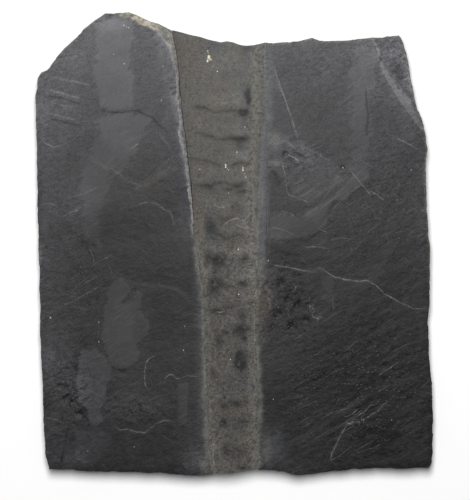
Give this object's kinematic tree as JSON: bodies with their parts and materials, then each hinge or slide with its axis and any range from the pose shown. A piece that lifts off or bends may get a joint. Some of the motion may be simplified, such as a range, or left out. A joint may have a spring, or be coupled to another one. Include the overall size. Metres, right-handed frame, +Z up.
{
  "type": "orthoceras fossil in a slate plate",
  "caption": "Straight chambered shell of a nautiloid, flattened full length in a broken, layered slate plate that lies on its flat underside.",
  "frame": {"origin": "on the flat underside, below the middle of the plate's bounding box", "axes": "+Z up out of the split face that shows the shell, +Y along the shell towards its wide end"},
  "size_m": [0.171, 0.199, 0.0143],
  "materials": {
    "slate": "split dark slate, matt with a faint grey sheen, pale scratches and thin calcite veins",
    "fossil_shell": "grainy olive-grey fossil shell with dark stains and a few bright mineral specks"
  },
  "bodies": {
    "root": {"slate_slab": "slate", "orthoceras": "fossil_shell"}
  },
  "joints": []
}
